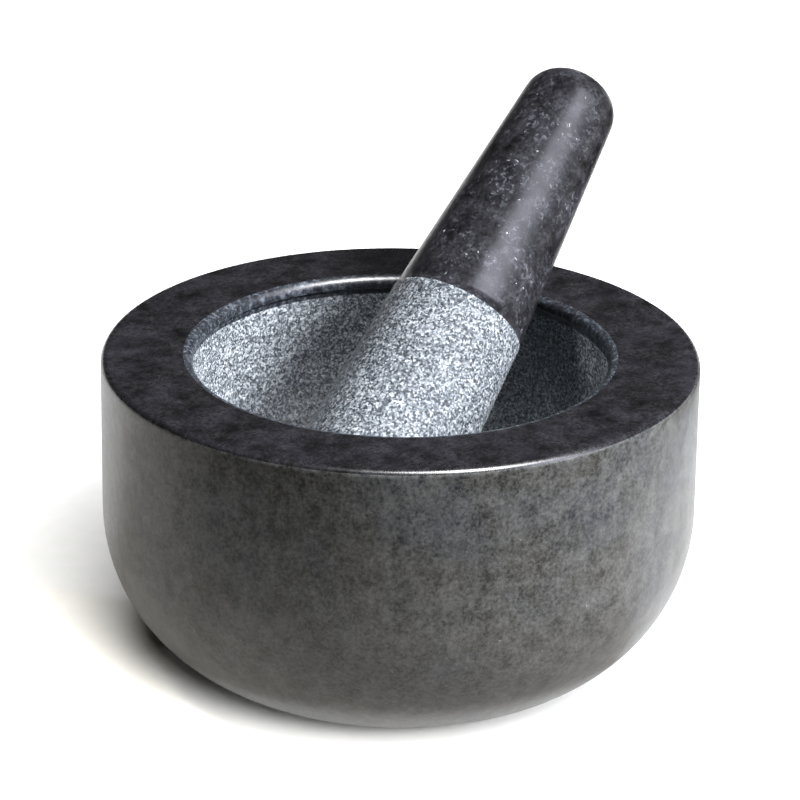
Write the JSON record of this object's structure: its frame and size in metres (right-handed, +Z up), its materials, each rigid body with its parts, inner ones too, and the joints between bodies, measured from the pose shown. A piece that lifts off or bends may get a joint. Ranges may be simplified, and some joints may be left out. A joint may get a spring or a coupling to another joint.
{
  "type": "stone mortar and pestle",
  "caption": "Round polished dark granite mortar with a broad flat rim and a rough-ground bowl, and a loose tapered pestle leaning in it, for crushing spices and making salsa.",
  "frame": {"origin": "centre of the mortar's flat foot, on the table", "axes": "+Z up along the mortar's axis of turning; +X towards the side that the pestle leans to; the XZ plane is the plane of symmetry"},
  "size_m": [0.1557, 0.14, 0.1272],
  "materials": {
    "mortar_granite": "dark granite, polished rim and honed side, rough ground inside the bowl",
    "pestle_granite": "near-black granite, polished handle and rough ground head"
  },
  "bodies": {
    "mortar": {"mortar": "mortar_granite"},
    "pestle": {"pestle": "pestle_granite"}
  },
  "joints": [
    {"name": "pestle_lift", "type": "slide", "parent": "mortar", "child": "pestle", "axis": [0, 0, 1], "range_m": [0, 0.06]}
  ]
}
